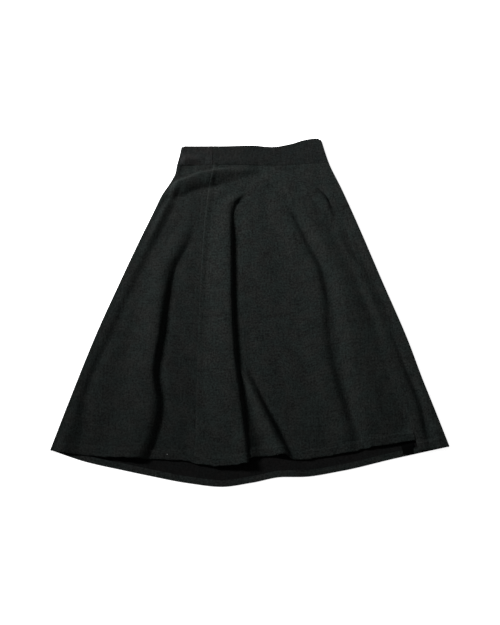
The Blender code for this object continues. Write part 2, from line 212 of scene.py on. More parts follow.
FOLD_LEFT_OF_MIDDLE = (
    Fold(138, -6, 0, 30, 14, 0.0, 0),
    Fold(148, -16, 3, 32, 16, 1.5, 1),
    Fold(160, -27, 7, 36, 18, 2.4, 3),
    Fold(176, -36, 6.0, 40, 20, 2.4, 3),
    Fold(201, -42, 7.0, 44, 20, 2.4, 5),
    Fold(270, -44, 12, 48, 20, 2.4, 10),
    Fold(351, -43, 12.5, 52, 20, 2.4, 10),
    Fold(431, -42, 12.5, 56, 20, 2.4, 10),
    Fold(575, -33, 13.5, 74, 20, 2.4, 9),
    Fold(678, -19, 14, 100, 22, 2.4, 9),
    Fold(791, -7, 12, 130, 22, 2.4, 10),
    Fold(860, 0, 12.5, 140, 22, 2.4, 10),
)
FOLD_LEFT = (
    Fold(215, -138, 0, 26, 22, 0.0, 0),
    Fold(270, -152, 5, 34, 28, 1.5, 1),
    Fold(351, -188, 8.5, 44, 30, 2.4, 3),
    Fold(431, -202, 13.5, 52, 32, 2.4, 7),
    Fold(524, -215, 14, 60, 26, 2.4, 8),
    Fold(620, -226, 13.5, 70, 28, 2.4, 7),
    Fold(703, -212, 13.5, 90, 36, 2.4, 6),
    Fold(778, -222, 13.5, 104, 40, 2.4, 5),
    Fold(860, -251, 15, 110, 42, 2.4, 5),
)
FOLD_AT_HEM = (
    Fold(600, -12, 0, 14, 16, 0.0, 0),
    Fold(640, 12, 6.5, 14, 20, 1.5, 1),
    Fold(703, 41, 12, 18, 24, 2.4, 4),
    Fold(778, 80, 15, 22, 30, 2.4, 7),
    Fold(860, 118, 15, 26, 34, 2.4, 8),
)
FOLD_RIGHT = (
    Fold(140, 82, 0.0, 30, 30, 0.0, 0),
    Fold(214, 124, 3.2, 50, 34, 1.8, 0),
    Fold(297, 158, 6.5, 80, 38, 2.4, 0),
    Fold(378, 194, 7.5, 90, 40, 2.4, 0),
    Fold(549, 216, 7.5, 110, 40, 2.4, 0),
    Fold(690, 236, 8.0, 110, 42, 2.4, 0),
    Fold(770, 251, 7.5, 100, 42, 2.4, 0),
    Fold(815, 263, 2.0, 100, 40, 2.4, 0),
    Fold(860, 274, 1.5, 100, 40, 2.4, 0),
)
FOLD_RIGHT_SIDE = (
    Fold(160, 200, 0.0, 24, 16, 0.0, 0),
    Fold(269, 217, 1.5, 26, 20, 1.8, 0),
    Fold(351, 254, 2.0, 28, 22, 2.2, 0),
    Fold(489, 309, 2.5, 30, 22, 2.2, 0),
    Fold(560, 330, 0.0, 30, 22, 0.0, 0),
)
FOLD_RIGHT_EDGE = (
    Fold(500, 348, 0.0, 16, 12, 0.0, 0),
    Fold(575, 373, 2.0, 18, 14, 1.4, 0),
    Fold(678, 412, 3.5, 18, 22, 2.4, 0),
    Fold(750, 429, 4.5, 20, 28, 2.4, 0),
    Fold(820, 442, 2.5, 22, 30, 2.4, 0),
    Fold(860, 452, 2.5, 22, 30, 2.4, 0),
)
FOLD_LEFT_EDGE = (
    Fold(110, -170, 0.0, 12, 12, 0.0, 0),
    Fold(150, -186, 3.0, 14, 16, 1.6, 0),
    Fold(187, -199, 5.0, 16, 24, 1.6, 0),
    Fold(230, -216, 5.5, 16, 26, 1.6, 0),
    Fold(270, -235, 5.0, 16, 28, 2.0, 0),
    Fold(351, -270, 3.5, 16, 32, 2.0, 0),
    Fold(431, -304, 3.0, 18, 30, 2.0, 0),
    Fold(524, -342, 2.6, 18, 28, 2.0, 0),
    Fold(614, -383, 3.0, 18, 28, 2.2, 0),
    Fold(703, -404, 6.0, 20, 36, 2.4, 0),
    Fold(778, -402, 10.0, 20, 64, 2.4, 0),
    Fold(860, -400, 10.0, 20, 80, 2.4, 0),
)
# Low banks beside two of the folds on the right, so that each of these runs along a shallow valley.
BANK_RIGHT = (
    Fold(140, 70, 0.0, 60, 14, 0.0, 0),
    Fold(201, 114, 2.2, 60, 15, 0.0, 0),
    Fold(270, 146, 3.8, 60, 17, 0.0, 0),
    Fold(351, 184, 4.8, 60, 19, 0.0, 0),
    Fold(431, 197, 4.8, 60, 20, 0.0, 0),
    Fold(524, 201, 4.4, 60, 22, 0.0, 0),
    Fold(614, 216, 6.0, 60, 24, 0.0, 0),
    Fold(703, 243, 6.5, 60, 24, 0.0, 0),
    Fold(770, 263, 6.5, 60, 24, 0.0, 0),
    Fold(815, 275, 2.5, 60, 26, 0.0, 0),
    Fold(860, 286, 2.0, 60, 26, 0.0, 0),
)
BANK_RIGHT_EDGE = (
    Fold(500, 350, 0.0, 40, 12, 0.0, 0),
    Fold(614, 388, 4.0, 40, 14, 0.0, 0),
    Fold(703, 421, 5.0, 40, 16, 0.0, 0),
    Fold(766, 434, 6.0, 40, 18, 0.0, 0),
    Fold(820, 446, 3.0, 40, 18, 0.0, 0),
    Fold(860, 456, 3.0, 40, 18, 0.0, 0),
)
# And one beside the middle fold, where this dips towards the fold at the hem.
BANK_MIDDLE = (
    Fold(700, 8, 0.0, 60, 22, 0.0, 0),
    Fold(760, 27, 6.0, 60, 34, 0.0, 0),
    Fold(791, 32, 10.0, 60, 36, 0.0, 0),
    Fold(860, 42, 11.0, 60, 38, 0.0, 0),
)
# The side on which a fold's crest stands, 1 for left and -1 for right, and how soft its foot is: 1 is the
# softest.
Laid = namedtuple("Laid", "fold side soft")
LAID_FOLDS = (
    Laid(FOLD_LEFT_OF_MIDDLE, 1.0, 0.55),
    Laid(FOLD_LEFT, 1.0, 0.7),
    Laid(FOLD_AT_HEM, 1.0, 0.75),
    Laid(FOLD_LEFT_EDGE, 1.0, 1.0),
    Laid(BANK_MIDDLE, 1.0, 1.0),
    Laid(BANK_RIGHT, 1.0, 0.8),
    Laid(BANK_RIGHT_EDGE, 1.0, 0.8),
    Laid(FOLD_RIGHT, -1.0, 1.0),
    Laid(FOLD_RIGHT_SIDE, -1.0, 1.0),
    Laid(FOLD_RIGHT_EDGE, -1.0, 1.0),
)

# The arched fold under the band, where the straight band pulls on the curved top of the panels. "soft" is as
# for the folds above.
Arch = namedtuple("Arch", "across down height rise fall press soft")
ARCHED_FOLD = (
    Arch(-200, 158, 11.0, 18, 42, 2.4, 0.8),
    Arch(-171, 147, 12.0, 14, 40, 2.4, 0.7),
    Arch(-150, 135, 13.0, 15, 36, 2.4, 0.6),
    Arch(-130, 127, 13.5, 16, 36, 2.4, 0.5),
    Arch(-109, 123, 13.5, 14, 36, 2.4, 0.5),
    Arch(-88, 119, 12.0, 14, 38, 2.4, 0.5),
    Arch(-68, 114, 10.5, 12, 38, 2.4, 0.5),
    Arch(-47, 108, 8.0, 12, 36, 2.4, 0.5),
    Arch(-10, 100, 5.0, 10, 32, 2.0, 0.6),
    Arch(40, 88, 2.5, 8, 22, 1.0, 0.8),
    Arch(90, 84, 0.0, 6, 18, 0.0, 1.0),
)
# Another runs down from the band's right part. Its crest stands below its foot.
ARCHED_FOLD_RIGHT = (
    Arch(24, 64, 0.0, 30, 10, 0.0, 0.5),
    Arch(48, 68, 5.0, 32, 12, 2.4, 0.5),
    Arch(78, 75, 7.5, 34, 12, 2.4, 0.5),
    Arch(119, 90, 8.5, 36, 13, 2.4, 0.5),
    Arch(145, 104, 8.5, 36, 14, 2.4, 0.5),
    Arch(171, 121, 7.5, 38, 14, 2.4, 0.5),
    Arch(196, 146, 5.0, 38, 16, 2.2, 0.5),
    Arch(215, 186, 0.0, 36, 16, 0.0, 0.5),
)
# A fold presses the puff away to this distance from its foot.
PRESS_WIDTH = 16.0

# The shells' own sizes. Rows and columns are closer together beside seams and in hems.
GRID_STEP = 2.5
BACK_GRID_STEP = 6.0
PANEL_ROWS = 240
BAND_ROWS = 14
FACING_ROWS = 30
FACING_COLUMNS = 24
BESIDE_SEAM = (0.0, 0.4, 1.0, 1.8, 3.0)
ABOVE_HEM = (0.0, 2.2, 4.6, 6.8, 9.0, 10.6, 12.2, 13.8, 15.5)
TURN_RADIUS = 2.2
TURN_STEPS = 8
ROLL_STEPS = 9
SEAM_UPRIGHT = 0.8
SHARP_ANGLE = 50.0

# Relief beside the seams: the groove, the step on its right, the pressed band and the pucker.
SEAM_WIDTH = 2.2
SEAM_STEP_WIDTH = 2.6
SEAM_STEP_END = 12.0
STEP_FADES_FROM = 330.0
STEP_FADES_OVER = 120.0
PRESSED_WIDTH = 11.0
PRESSED_FADE = 4.0
PUCKER = 0.22
PUCKER_LENGTH = 8.0
PUCKER_REACH = 9.0
BAND_ROUND = 1.5

# The hem's line of stitches, which is uneven in depth.
STITCH_UP = 14.0
STITCH_DEPTH = 0.6
STITCH_WIDTH = 1.6
STITCH_EVEN = 0.5

# The front's pressed seams: the groove's depth, the height of the pressed band and of the step to its right.
Seam = namedtuple("Seam", "course depth pressed step low_step seed")
PRESSED_SEAMS = (
    Seam(LEFT_FRONT_SEAM, 0.1, 0.3, 1.0, 0.4, 20),
    Seam(RIGHT_FRONT_SEAM, 0.15, 0.25, 0.2, 0.1, 21),
    Seam(RIGHT_SIDE_SEAM, 0.15, 0.25, 0.2, 0.2, 22),
)

# The seam under the band is a groove, which gets deeper towards the left.
BAND_SEAM_DEPTH = 0.05
BAND_SEAM_DEEPER = 0.4
DEEPER_FROM = -60.0
DEEPER_OVER = 50.0

# The band's own two seams, and how high it stands beside them, as a share of their depth.
Groove = namedtuple("Groove", "course depth")
BAND_GROOVES = (Groove(LEFT_FRONT_SEAM, 1.5), Groove(RIGHT_FRONT_SEAM, 0.15))
BESIDE_GROOVE = 0.3
BESIDE_GROOVE_WIDTH = 8.0
BESIDE_GROOVE_FADE = 4.0

# Soft random relief: its height, and the distances over which it changes.
Uneven = namedtuple("Uneven", "height across down seed")
UNEVEN_FRONT = (Uneven(0.8, 60.0, 140.0, 3), Uneven(0.35, 22.0, 50.0, 5), Uneven(0.12, 9.0, 14.0, 7))
UNEVEN_BAND = (Uneven(0.35, 45.0, 30.0, 51), Uneven(0.12, 9.0, 9.0, 53))
UNEVEN_FACING = (Uneven(0.15, 7.0, 7.0, 61),)
UNEVEN_STITCHES = (Uneven(0.5, 7.0, 400.0, 31),)
SCALLOPED_HEM = (Uneven(1.5, 13.0, 10.0, 41),)
LATTICE = 97
LATTICE_START = (40.0, 10.0)

# Long soft ridges (height above 0) and troughs (below 0), straight between their two ends.
Wrinkle = namedtuple("Wrinkle", "across down to_across to_down height width")
WRINKLES = (
    Wrinkle(-220, 482, -52, 477, -1.3, 6.0),
    Wrinkle(-218, 475, -55, 470, 1.0, 6.0),
    Wrinkle(-18, 480, 102, 477, -1.1, 6.0),
    Wrinkle(-16, 473, 100, 470, 0.8, 6.0),
    Wrinkle(-360, 481, -279, 478, -0.8, 5.0),
    Wrinkle(-358, 475, -281, 472, 0.8, 5.0),
    Wrinkle(-199, 424, -134, 405, -0.6, 4.0),
    Wrinkle(-394, 590, -361, 582, -0.4, 4.0),
    Wrinkle(-185, 633, -123, 625, -0.4, 4.0),
    Wrinkle(-205, 560, -150, 548, -0.4, 4.5),
    Wrinkle(51, 64, 51, 127, -0.8, 3.0),
    Wrinkle(137, 120, 171, 200, 0.9, 6.0),
    Wrinkle(-200, 76, -136, 66, -4.0, 9.0),
    Wrinkle(-220, 41, -116, 48, 7.0, 12.0),
    Wrinkle(-130, 54, 20, 56, 5.0, 16.0),
    Wrinkle(-100, 104, 46, 84, -2.4, 10.0),
    Wrinkle(214, 180, 284, 351, -2.4, 15.0),
    Wrinkle(-22, 190, -22, 300, -1.6, 12.0),
    Wrinkle(-4, 480, 6, 640, -1.2, 12.0),
    Wrinkle(0, 690, 24, 850, -3.5, 14.0),
    Wrinkle(150, 300, 230, 560, 0.8, 12.0),
    Wrinkle(60, 560, 96, 700, -0.7, 12.0),
    Wrinkle(20, 250, 40, 430, 0.5, 16.0),
    Wrinkle(-330, 520, -400, 700, 0.7, 14.0),
    Wrinkle(-110, 200, -96, 330, 0.5, 12.0),
    Wrinkle(280, 600, 330, 760, 0.9, 12.0),
    Wrinkle(190, 640, 210, 790, -0.6, 10.0),
)

# Colours are linear. The pieces' colours differ as painted light: the middle and right gores are painted
# lighter than the left one, to make up for the light falling off away from the lamp on the left, and the
# band's left piece is painted lighter as if it stood more in the light.
FRONT_LEFT_BLACK = (0.0061, 0.0071, 0.0067)
FRONT_CENTRE_BLACK = (0.0070, 0.0082, 0.0077)
FRONT_RIGHT_BLACK = (0.0067, 0.0079, 0.0074)
SIDE_BLACK = (0.0065, 0.0076, 0.0071)
BACK_BLACK = (0.0082, 0.0090, 0.0087)
BAND_LEFT_BLACK = (0.0066, 0.0065, 0.0065)
BAND_CENTRE_BLACK = (0.0046, 0.0051, 0.0049)
BAND_RIGHT_BLACK = (0.0048, 0.0056, 0.0054)
# The inside is darker partly as the cloth's own reverse and partly as painted shade, for the strip of it
# under the front hem where the hem's shadow falls.
INSIDE_BLACK_AND_SHADE = (0.0025, 0.0024, 0.0024)
FACING_BLACK = (0.0005, 0.0006, 0.0006)
COOL_TINT = (0.86, 1.01, 1.00, 1.0)
GREY_TINT = (1.03, 1.00, 0.99, 1.0)
LINT_WHITE = (0.42, 0.45, 0.42, 1.0)

# The cloth's noises, some of them stretched, and what each adds to its relief and to its mottled colour.
Noise = namedtuple("Noise", "scale detail stretch")
EVEN = (1.0, 1.0, 1.0)
WOOL_NOISES = {
    "fibres": Noise(700.0, 3.0, EVEN),
    "tufts": Noise(230.0, 3.0, EVEN),
    "yarns": Noise(190.0, 3.0, (1.0, 0.22, 1.0)),
    "weft": Noise(170.0, 3.0, (0.22, 1.0, 1.0)),
    "patches": Noise(26.0, 4.0, EVEN),
    "clouds": Noise(22.0, 3.0, EVEN),
}
NOISE_ROUGHNESS = 0.6
WOOL_RELIEF = {"fibres": 0.5, "yarns": 0.9, "weft": 0.7, "twill": 0.1}
WOOL_MOTTLE = {"patches": 0.15, "yarns": 0.15, "weft": 0.15, "tufts": 0.55}
MOTTLE_RANGE = (0.40, 0.60)
CLOUD_RANGE = (0.42, 0.58)
DARK_SHARE = 0.25
LIGHT_SHARE = 1.75
TWILL = {"Scale": 120.0, "Distortion": 3.0, "Detail Scale": 3.0}
WOOL_BUMP = {"Strength": 0.8, "Distance": 0.0011}
WOOL_SURFACE = {
    "Roughness": 0.88,
    "Specular IOR Level": 0.07,
    "Sheen Weight": 0.02,
    "Sheen Roughness": 0.45,
    "Sheen Tint": (0.80, 0.92, 0.90, 1.0),
}
LINT_SCALE = 26.0
LINT_SIZE = 0.016
LINT_RARITY = 0.9
LINT_STRENGTH = 0.8
FACING_SURFACE = {
    "Base Color": (*FACING_BLACK, 1.0),
    "Roughness": 0.7,
    "Specular IOR Level": 0.02,
}
FACING_WEAVE = {"Scale": 1800.0, "Detail": 2.0}
FACING_BUMP = {"Strength": 0.3, "Distance": 0.0002}
FLOOR_SURFACE = {
    "Base Color": (0.92, 0.92, 0.92, 1.0),
    "Emission Color": (1.0, 1.0, 1.0, 1.0),
    "Emission Strength": 0.85,
    "Roughness": 0.9,
    "Specular IOR Level": 0.1,
}

FLOOR_SIDE = 60.0
FLOOR_HEIGHT = -0.0002
WORLD_WHITE = (1.0, 1.0, 1.0, 1.0)
WORLD_LIGHT = 0.17
KEY_PLACE = (-5.0, 2.2, 3.6)
KEY_AIM = (-0.85, 10.85, 1.0)
KEY_SIZE = 2.0
KEY_POWER = 5250.0
CAMERA_TARGET = (0.0005, -0.0173, 0.0)
CAMERA_ELEVATION = 72.0
CAMERA_DISTANCE = 3.30
CAMERA_LENS = 75.55
SENSOR_WIDTH = 36.0
CLIP_END = 50.0


def through(places, values, at):
    """A smooth curve through a table's rows, which never swings past them. Beyond its ends it stays level."""
    places = np.asarray(places, float)
    values = np.asarray(values, float)
    at = np.clip(at, places[0], places[-1])
    steps = np.diff(places)
    slopes = np.diff(values) / steps
    product = slopes[:-1] * slopes[1:]
    total = slopes[:-1] + slopes[1:]
    turning = product <= 0
    inner = np.where(turning, 0.0, 2 * product / np.where(turning, 1.0, total))
    tangents = np.concatenate([slopes[:1], inner, slopes[-1:]])
    i = np.clip(np.searchsorted(places, at) - 1, 0, len(steps) - 1)
    t = (at - places[i]) / steps[i]
    rise = values[i + 1] - values[i]
    curve = rise * t * t * (3 - 2 * t)
    curve += steps[i] * t * (1 - t) * (tangents[i] * (1 - t) - tangents[i + 1] * t)
    return values[i] + curve


def across_at(course, down):
    return through([row.down for row in course], [row.across for row in course], down)


def down_at(level, across):
    return through([row.across for row in level], [row.down for row in level], across)


def band_seam_at(across):
    return np.interp(across, [row.across for row in BAND_SEAM], [row.down for row in BAND_SEAM])


def ease(share):
    share = np.clip(share, 0.0, 1.0)
    return share * share * (3 - 2 * share)


def crest(distance, rise, fall, soft):
    """Height of a fold, from 0 to 1, at a distance before its foot: up the fall to the crest, and down the
    rise."""
    near = ease(np.clip(distance / fall, 0.0, 1.0) ** soft)
    return np.where(distance < fall, near, ease((fall + rise - distance) / rise))


def roll_radius(down):
    share = (down - ROLL_WAIST_DOWN) / (ROLL_HEM_DOWN - ROLL_WAIST_DOWN)
    return ROLL_AT_WAIST + (ROLL_AT_HEM - ROLL_AT_WAIST) * np.clip(share, 0.0, 1.0)


def away_from_edges(across, down):
    """From 0 on the rolled edges to 1 where the front has come up or down to its own height."""
    wide = np.interp(down, (LEFT_EASE_FROM, LEFT_EASE_TO), (LEFT_EASE_AT_WAIST, LEFT_EASE))
    from_left = across - left_roll_end(down)
    from_right = right_roll_end(down) - across
    return np.minimum(ease(from_left / wide), ease(from_right / RIGHT_EASE))


def fold_values(fold, down):
    """Each column of a fold's table, read off at these distances down the skirt."""
    downs = [row.down for row in fold]
    columns = {name: [getattr(row, name) for row in fold] for name in Fold._fields[1:]}
    return {name: through(downs, values, down) for name, values in columns.items()}


def folds_at(across, down):
    """How much the folds lift the front, how much of its puff they press away, and how far they lean to the
    right."""
    lift = np.zeros_like(across)
    pressed = np.zeros_like(across)
    lean = np.zeros_like(across)
    for fold, side, soft in LAID_FOLDS:
        row = fold_values(fold, down)
        before = side * (row["across"] - across)
        shape = crest(before, row["rise"], row["fall"], soft)
        lift += row["height"] * shape
        lean += side * row["lean"] * shape
        pressed = np.maximum(pressed, row["press"] * np.exp(-((before / PRESS_WIDTH) ** 2)))
    for fold, side in ((ARCHED_FOLD, 1.0), (ARCHED_FOLD_RIGHT, -1.0)):
        places = [row.across for row in fold]
        row = {name: through(places, [getattr(row, name) for row in fold], across) for name in Arch._fields}
        before = side * (row["down"] - down)
        lift += row["height"] * crest(before, row["rise"], row["fall"], row["soft"])
        pressed = np.maximum(pressed, row["press"] * np.exp(-((before / PRESS_WIDTH) ** 2)))
    free = ease((down - band_seam_at(across) - LEVEL_START) / FOLD_START)
    return lift * free, pressed * free, lean * free


def over_back(across, down):
    """Height of what lies on the back: on one cloth, and on two from just before its turned-up hem."""
    turned = ease((down - (down_at(BACK_HEM, across) - HEM_TURN - HEM_EASE)) / HEM_STEP)
    return CLOTH * (1.0 + turned) + LAYER_GAP


def over_vent_facing(across, down):
    """How much of the vent facing lies under the front at this place, from 0 to 1."""
    corner = VENT_FACING_LEFT[0]
    before = FACING_EASE + FACING_MARGIN
    beside = ease((across - corner.across + before) / FACING_EASE)
    return beside * ease((down - corner.down + before) / FACING_EASE)


def stack(across, down, height):
    return np.stack(np.broadcast_arrays(across, down, height), axis=-1)


def unevenness(across, down, wide, long, seed):
    """Soft random height from -1 to 1, which changes over these distances."""
    lattice = np.random.default_rng(seed).uniform(-1.0, 1.0, (LATTICE, LATTICE))
    a = across / wide + LATTICE_START[0]
    b = down / long + LATTICE_START[1]
    i = np.floor(a).astype(int)
    j = np.floor(b).astype(int)
    u = ease(a - i)
    v = ease(b - j)
    i, next_i = i % LATTICE, (i + 1) % LATTICE
    j, next_j = j % LATTICE, (j + 1) % LATTICE
    near = lattice[i, j] * (1 - u) + lattice[next_i, j] * u
    far = lattice[i, next_j] * (1 - u) + lattice[next_i, next_j] * u
    return near * (1 - v) + far * v


def relief_of(table, across, down):
    """The sum of a table's rows of soft random relief."""
    return sum(row.height * unevenness(across, down, row.across, row.down, row.seed) for row in table)


def groove(depth, distance):
    """How deep a seam's groove is at a distance from its middle."""
    return depth * (1 - np.clip(distance / SEAM_WIDTH, 0.0, 1.0)) ** 2


def wrinkles_at(across, down):
    total = np.zeros_like(across)
    for row in WRINKLES:
        run = np.array([row.to_across - row.across, row.to_down - row.down], float)
        along = ((across - row.across) * run[0] + (down - row.down) * run[1]) / (run @ run)
        along = np.clip(along, 0.0, 1.0)
        off = np.hypot(across - row.across - along * run[0], down - row.down - along * run[1])
        total += row.height * np.exp(-((off / row.width) ** 2)) * (1 - (2 * along - 1) ** 4)
    return total


def beside_seam(seam, across, down):
    """Relief along a pressed seam: a groove, on a low band where the seam's spare cloth lies under it. The
    cloth right of the seam stands a little higher."""
    off = across - across_at(seam.course, down)
    distance = np.abs(off)
    band = seam.pressed * (1 - ease((distance - PRESSED_WIDTH + PRESSED_FADE / 2) / PRESSED_FADE))
    step = seam.step + (seam.low_step - seam.step) * ease((down - STEP_FADES_FROM) / STEP_FADES_OVER)
    step = step * ease(off / SEAM_STEP_WIDTH) * (1 - ease((off - SEAM_STEP_WIDTH) / SEAM_STEP_END))
    pucker = unevenness(np.zeros_like(down), down, PUCKER_LENGTH, PUCKER_LENGTH, seam.seed)
    pucker = pucker * np.exp(-((distance / PUCKER_REACH) ** 2))
    return band - groove(seam.depth, distance) + step + PUCKER * pucker


def front_relief(across, down):
    """Small unevenness of the front layer over the frame's solids."""
    relief = relief_of(UNEVEN_FRONT, across, down)
    relief += wrinkles_at(across, down)
    for seam in PRESSED_SEAMS:
        relief += beside_seam(seam, across, down)
    depth = BAND_SEAM_DEPTH + BAND_SEAM_DEEPER * ease((DEEPER_FROM - across) / DEEPER_OVER)
    return relief - groove(depth, down - band_seam_at(across))


def front_surface(across, down, hem):
    """Outer face of the front layer above this hem, (across, down, height)."""
    lift, pressed, lean = folds_at(across, down)
    radius = roll_radius(down)
    above = hem - down
    doubled = 1 - ease((above - HEM_TURN) / DOUBLING)
    stitch = STITCH_DEPTH * np.exp(-(((above - STITCH_UP) / STITCH_WIDTH) ** 2))
    stitch *= STITCH_EVEN + relief_of(UNEVEN_STITCHES, across, down)
    under = over_back(across, down) + (FACING_CLOTH + LAYER_GAP) * over_vent_facing(across, down)
    wall = CLOTH + (CLOTH + HEM_SPARE) * doubled
    puff = PUFF_AT_HEM + (PUFF - PUFF_AT_HEM) * ease(above / SETTLING)
    height = puff - pressed + lift + front_relief(across, down) - stitch
    height = under + wall + np.maximum(height, LEAST_PUFF)
    share = away_from_edges(across, down)
    height = 2 * radius + (height - 2 * radius) * share
    return stack(across + lean * share, down, height)


def rolled_over(down):
    """Points round the right edge, from the top of the roll to under it."""
    radius = roll_radius(down)[:, None]
    angles = np.radians(np.linspace(0.0, 180.0, 2 * ROLL_STEPS + 1))
    across = across_at(RIGHT_EDGE, down)[:, None] - radius * (1 - np.sin(angles))
    return stack(across, down[:, None], radius * (1 + np.cos(angles)))


def rolled_to_seam(edge, side, down, upper):
    """Points from the top of an edge's roll, or from under it, to a seam along the middle of the edge."""
    radius = roll_radius(down)[:, None]
    bend = radius - SEAM_UPRIGHT
    angles = np.radians(np.linspace(0.0, 90.0, ROLL_STEPS + 1))
    across = across_at(edge, down)[:, None] - side * bend * (1 - np.sin(angles))
    above = radius - bend + bend * np.cos(angles)
    across = np.concatenate([across, across[:, -1:]], axis=1)
    above = np.concatenate([above, np.zeros_like(radius)], axis=1)
    return stack(across, down[:, None], radius + above if upper else radius - above)


def left_roll_end(down):
    return across_at(LEFT_EDGE, down) + roll_radius(down)


def right_roll_end(down):
    return across_at(RIGHT_EDGE, down) - roll_radius(down)


def between_seams(left, right):
    """A function of DOWN that gives a stretch's two ends."""
    return lambda down: (across_at(left, down), across_at(right, down))


def from_left_roll(right):
    return lambda down: (left_roll_end(down), across_at(right, down))


def to_right_roll(left):
    return lambda down: (across_at(left, down), right_roll_end(down))


def between_rolls(down):
    return left_roll_end(down), right_roll_end(down)


def lines(first, last, even):
    """Lines across a length as (share, offset): at these distances from its ends, and evenly between them."""
    inner = np.linspace(0.0, 1.0, even + 2)[1:-1]
    shares = np.concatenate([np.zeros(len(first)), inner, np.ones(len(last))])
    between = first[-1] - inner * (first[-1] + last[-1])
    return shares, np.concatenate([first, between, [-more for more in last[::-1]]])


def flat_grid(ends, top, bottom, above_bottom, rows, step=GRID_STEP):
    """(across, down, bottom) of a stretch's points: columns between its ends, and rows from top to bottom."""
    lowest = float(bottom(0.0))
    left, right = ends(lowest)
    shares, offsets = lines(BESIDE_SEAM, BESIDE_SEAM, int(float(right - left) / step))

    def columns(down):
        left, right = ends(down)
        return left + (right - left) * shares + offsets

    tops = top(columns(float(top(0.0))))
    bottoms = bottom(columns(bottom(columns(lowest))))
    row_shares, row_offsets = lines(BESIDE_SEAM, above_bottom, rows)
    down = tops + (bottoms - tops) * row_shares[:, None] + row_offsets[:, None]
    return columns(down), down, np.broadcast_to(bottoms, down.shape)


def front_hem(across):
    return down_at(FRONT_HEM, across) + relief_of(SCALLOPED_HEM, across, 0.0 * across)


def wrapped_hem(across):
    return down_at(WRAPPED_HEM, across)


def back_hem(across):
    return down_at(BACK_HEM, across)


def waist_top(across):
    return down_at(WAIST_TOP, across)


def in_frame(points):
    """Points (across, down, height) in the frame's metres."""
    across, down, height = np.moveaxis(points, -1, 0)
    return np.stack([across - MIDDLE_ACROSS, MIDDLE_DOWN - down, height], axis=-1) * MM


def outward(points):
    """Directions out of the cloth at each point of a grid."""
    out = np.cross(np.gradient(points, axis=0), np.gradient(points, axis=1))
    return out / np.linalg.norm(out, axis=2, keepdims=True)


def turned_up(points):
    """A grid's points with its hem turned up inside: round its edge and back over its last rows."""
    out = outward(points)
    ahead = points[-1] - points[-2]
    ahead /= np.linalg.norm(ahead, axis=1, keepdims=True)
    radius = TURN_RADIUS * MM
    angles = np.radians(np.linspace(0.0, 180.0, TURN_STEPS + 1))[1:, None, None]
    turn = points[-1] + radius * (np.sin(angles) * ahead - (1 - np.cos(angles)) * out[-1])
    back = (points - 2 * radius * out)[-2 : -len(ABOVE_HEM) : -1]
    return np.concatenate([points, turn, back])


def grain_of(points):
    """Each point's place on the flat cloth, measured along it from its middle column and its top."""
    rows, columns = points.shape[:2]
    middle = columns // 2
    lengths = np.linalg.norm(np.diff(points, axis=1), axis=2)
    across = np.concatenate([np.zeros((rows, 1)), np.cumsum(lengths, axis=1)], axis=1)
    across += points[:, middle : middle + 1, 0] - across[:, middle : middle + 1]
    along = np.concatenate([[0.0], np.cumsum(np.linalg.norm(np.diff(points[:, middle], axis=0), axis=1))])
    return np.stack([across, np.broadcast_to(along[:, None], across.shape)], axis=-1).reshape(-1, 2)


def strips(first, second):
    """Faces between two equally long lines of points."""
    return np.stack([first[:-1], first[1:], second[1:], second[:-1]], axis=-1).reshape(-1, 4)


def cloth_shell(name, points, wall, materials, stands_for):
    """A closed cloth wall inside a grid of outer points, which stands for one solid of the frame. The last of
    the materials is the one inside."""
    rows, columns = points.shape[:2]
    outer = np.arange(rows * columns).reshape(rows, columns)
    inner = outer + rows * columns
    inside = strips(inner[:, 1:], inner[:, :-1])
    faces = np.concatenate([
        inside,
        strips(outer[:, :-1], outer[:, 1:]),
        strips(outer[0], inner[0]),
        strips(inner[-1], outer[-1]),
        strips(inner[:, 0], outer[:, 0]),
        strips(outer[:, -1], inner[:, -1]),
    ])
    both = np.stack([points, points - wall * MM * outward(points)])
    mesh = bpy.data.meshes.new(name)
    mesh.from_pydata(both.reshape(-1, 3).tolist(), [], faces.tolist())
    mesh.shade_smooth()
    mesh.set_sharp_from_angle(angle=np.radians(SHARP_ANGLE))
    grain = np.tile(grain_of(points), (2, 1))
    mesh.uv_layers.new(name="grain").data.foreach_set("uv", grain[faces.ravel()].ravel())
    for material in materials:
        mesh.materials.append(material)
    sides = np.zeros(len(faces), np.int32)
    sides[: len(inside)] = len(materials) - 1
    mesh.polygons.foreach_set("material_index", sides)
    shell = bpy.data.objects.new(name, mesh)
    bpy.context.scene.collection.objects.link(shell)
    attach(shell, "root")
    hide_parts(stands_for)
    return shell


def panel_grid(ends, hem, step=GRID_STEP):
    above_hem = [TURN_RADIUS + above for above in ABOVE_HEM]
    return flat_grid(ends, band_seam_at, hem, above_hem, PANEL_ROWS, step)


def front_points(ends, hem=front_hem):
    return front_surface(*panel_grid(ends, hem))


def back_points(ends):
    """The back's outer face, which lies on the floor. Its points run from right to left, so that it faces
    down."""
    across, down, _ = panel_grid(ends, back_hem, BACK_GRID_STEP)
    return stack(across, down, 0.0)[:, ::-1]


def with_left_edge(points):
    """Points of a front piece, with its roll round the left edge before them."""
    edge = rolled_to_seam(LEFT_EDGE, -1.0, points[:, 0, 1], upper=True)
    return np.concatenate([edge[:, :0:-1], points], axis=1)


def panel(name, points, materials, stands_for):
    """A panel's cloth shell, with its hem turned up."""
    return cloth_shell(name, turned_up(in_frame(points)), CLOTH, materials, stands_for)


def build_front():
    points = with_left_edge(front_points(from_left_roll(LEFT_FRONT_SEAM)))
    materials = both_sides("wool_front_left", FRONT_LEFT_BLACK)
    left = panel("front_left_cloth", points, materials, "front_left_panel")
    points = front_points(between_seams(LEFT_FRONT_SEAM, RIGHT_FRONT_SEAM))
    materials = both_sides("wool_front_centre", FRONT_CENTRE_BLACK)
    centre = panel("front_centre_cloth", points, materials, "front_centre_panel")
    points = front_points(between_seams(RIGHT_FRONT_SEAM, RIGHT_SIDE_SEAM))
    materials = both_sides("wool_front_right", FRONT_RIGHT_BLACK)
    right = panel("front_right_cloth", points, materials, "front_right_panel")


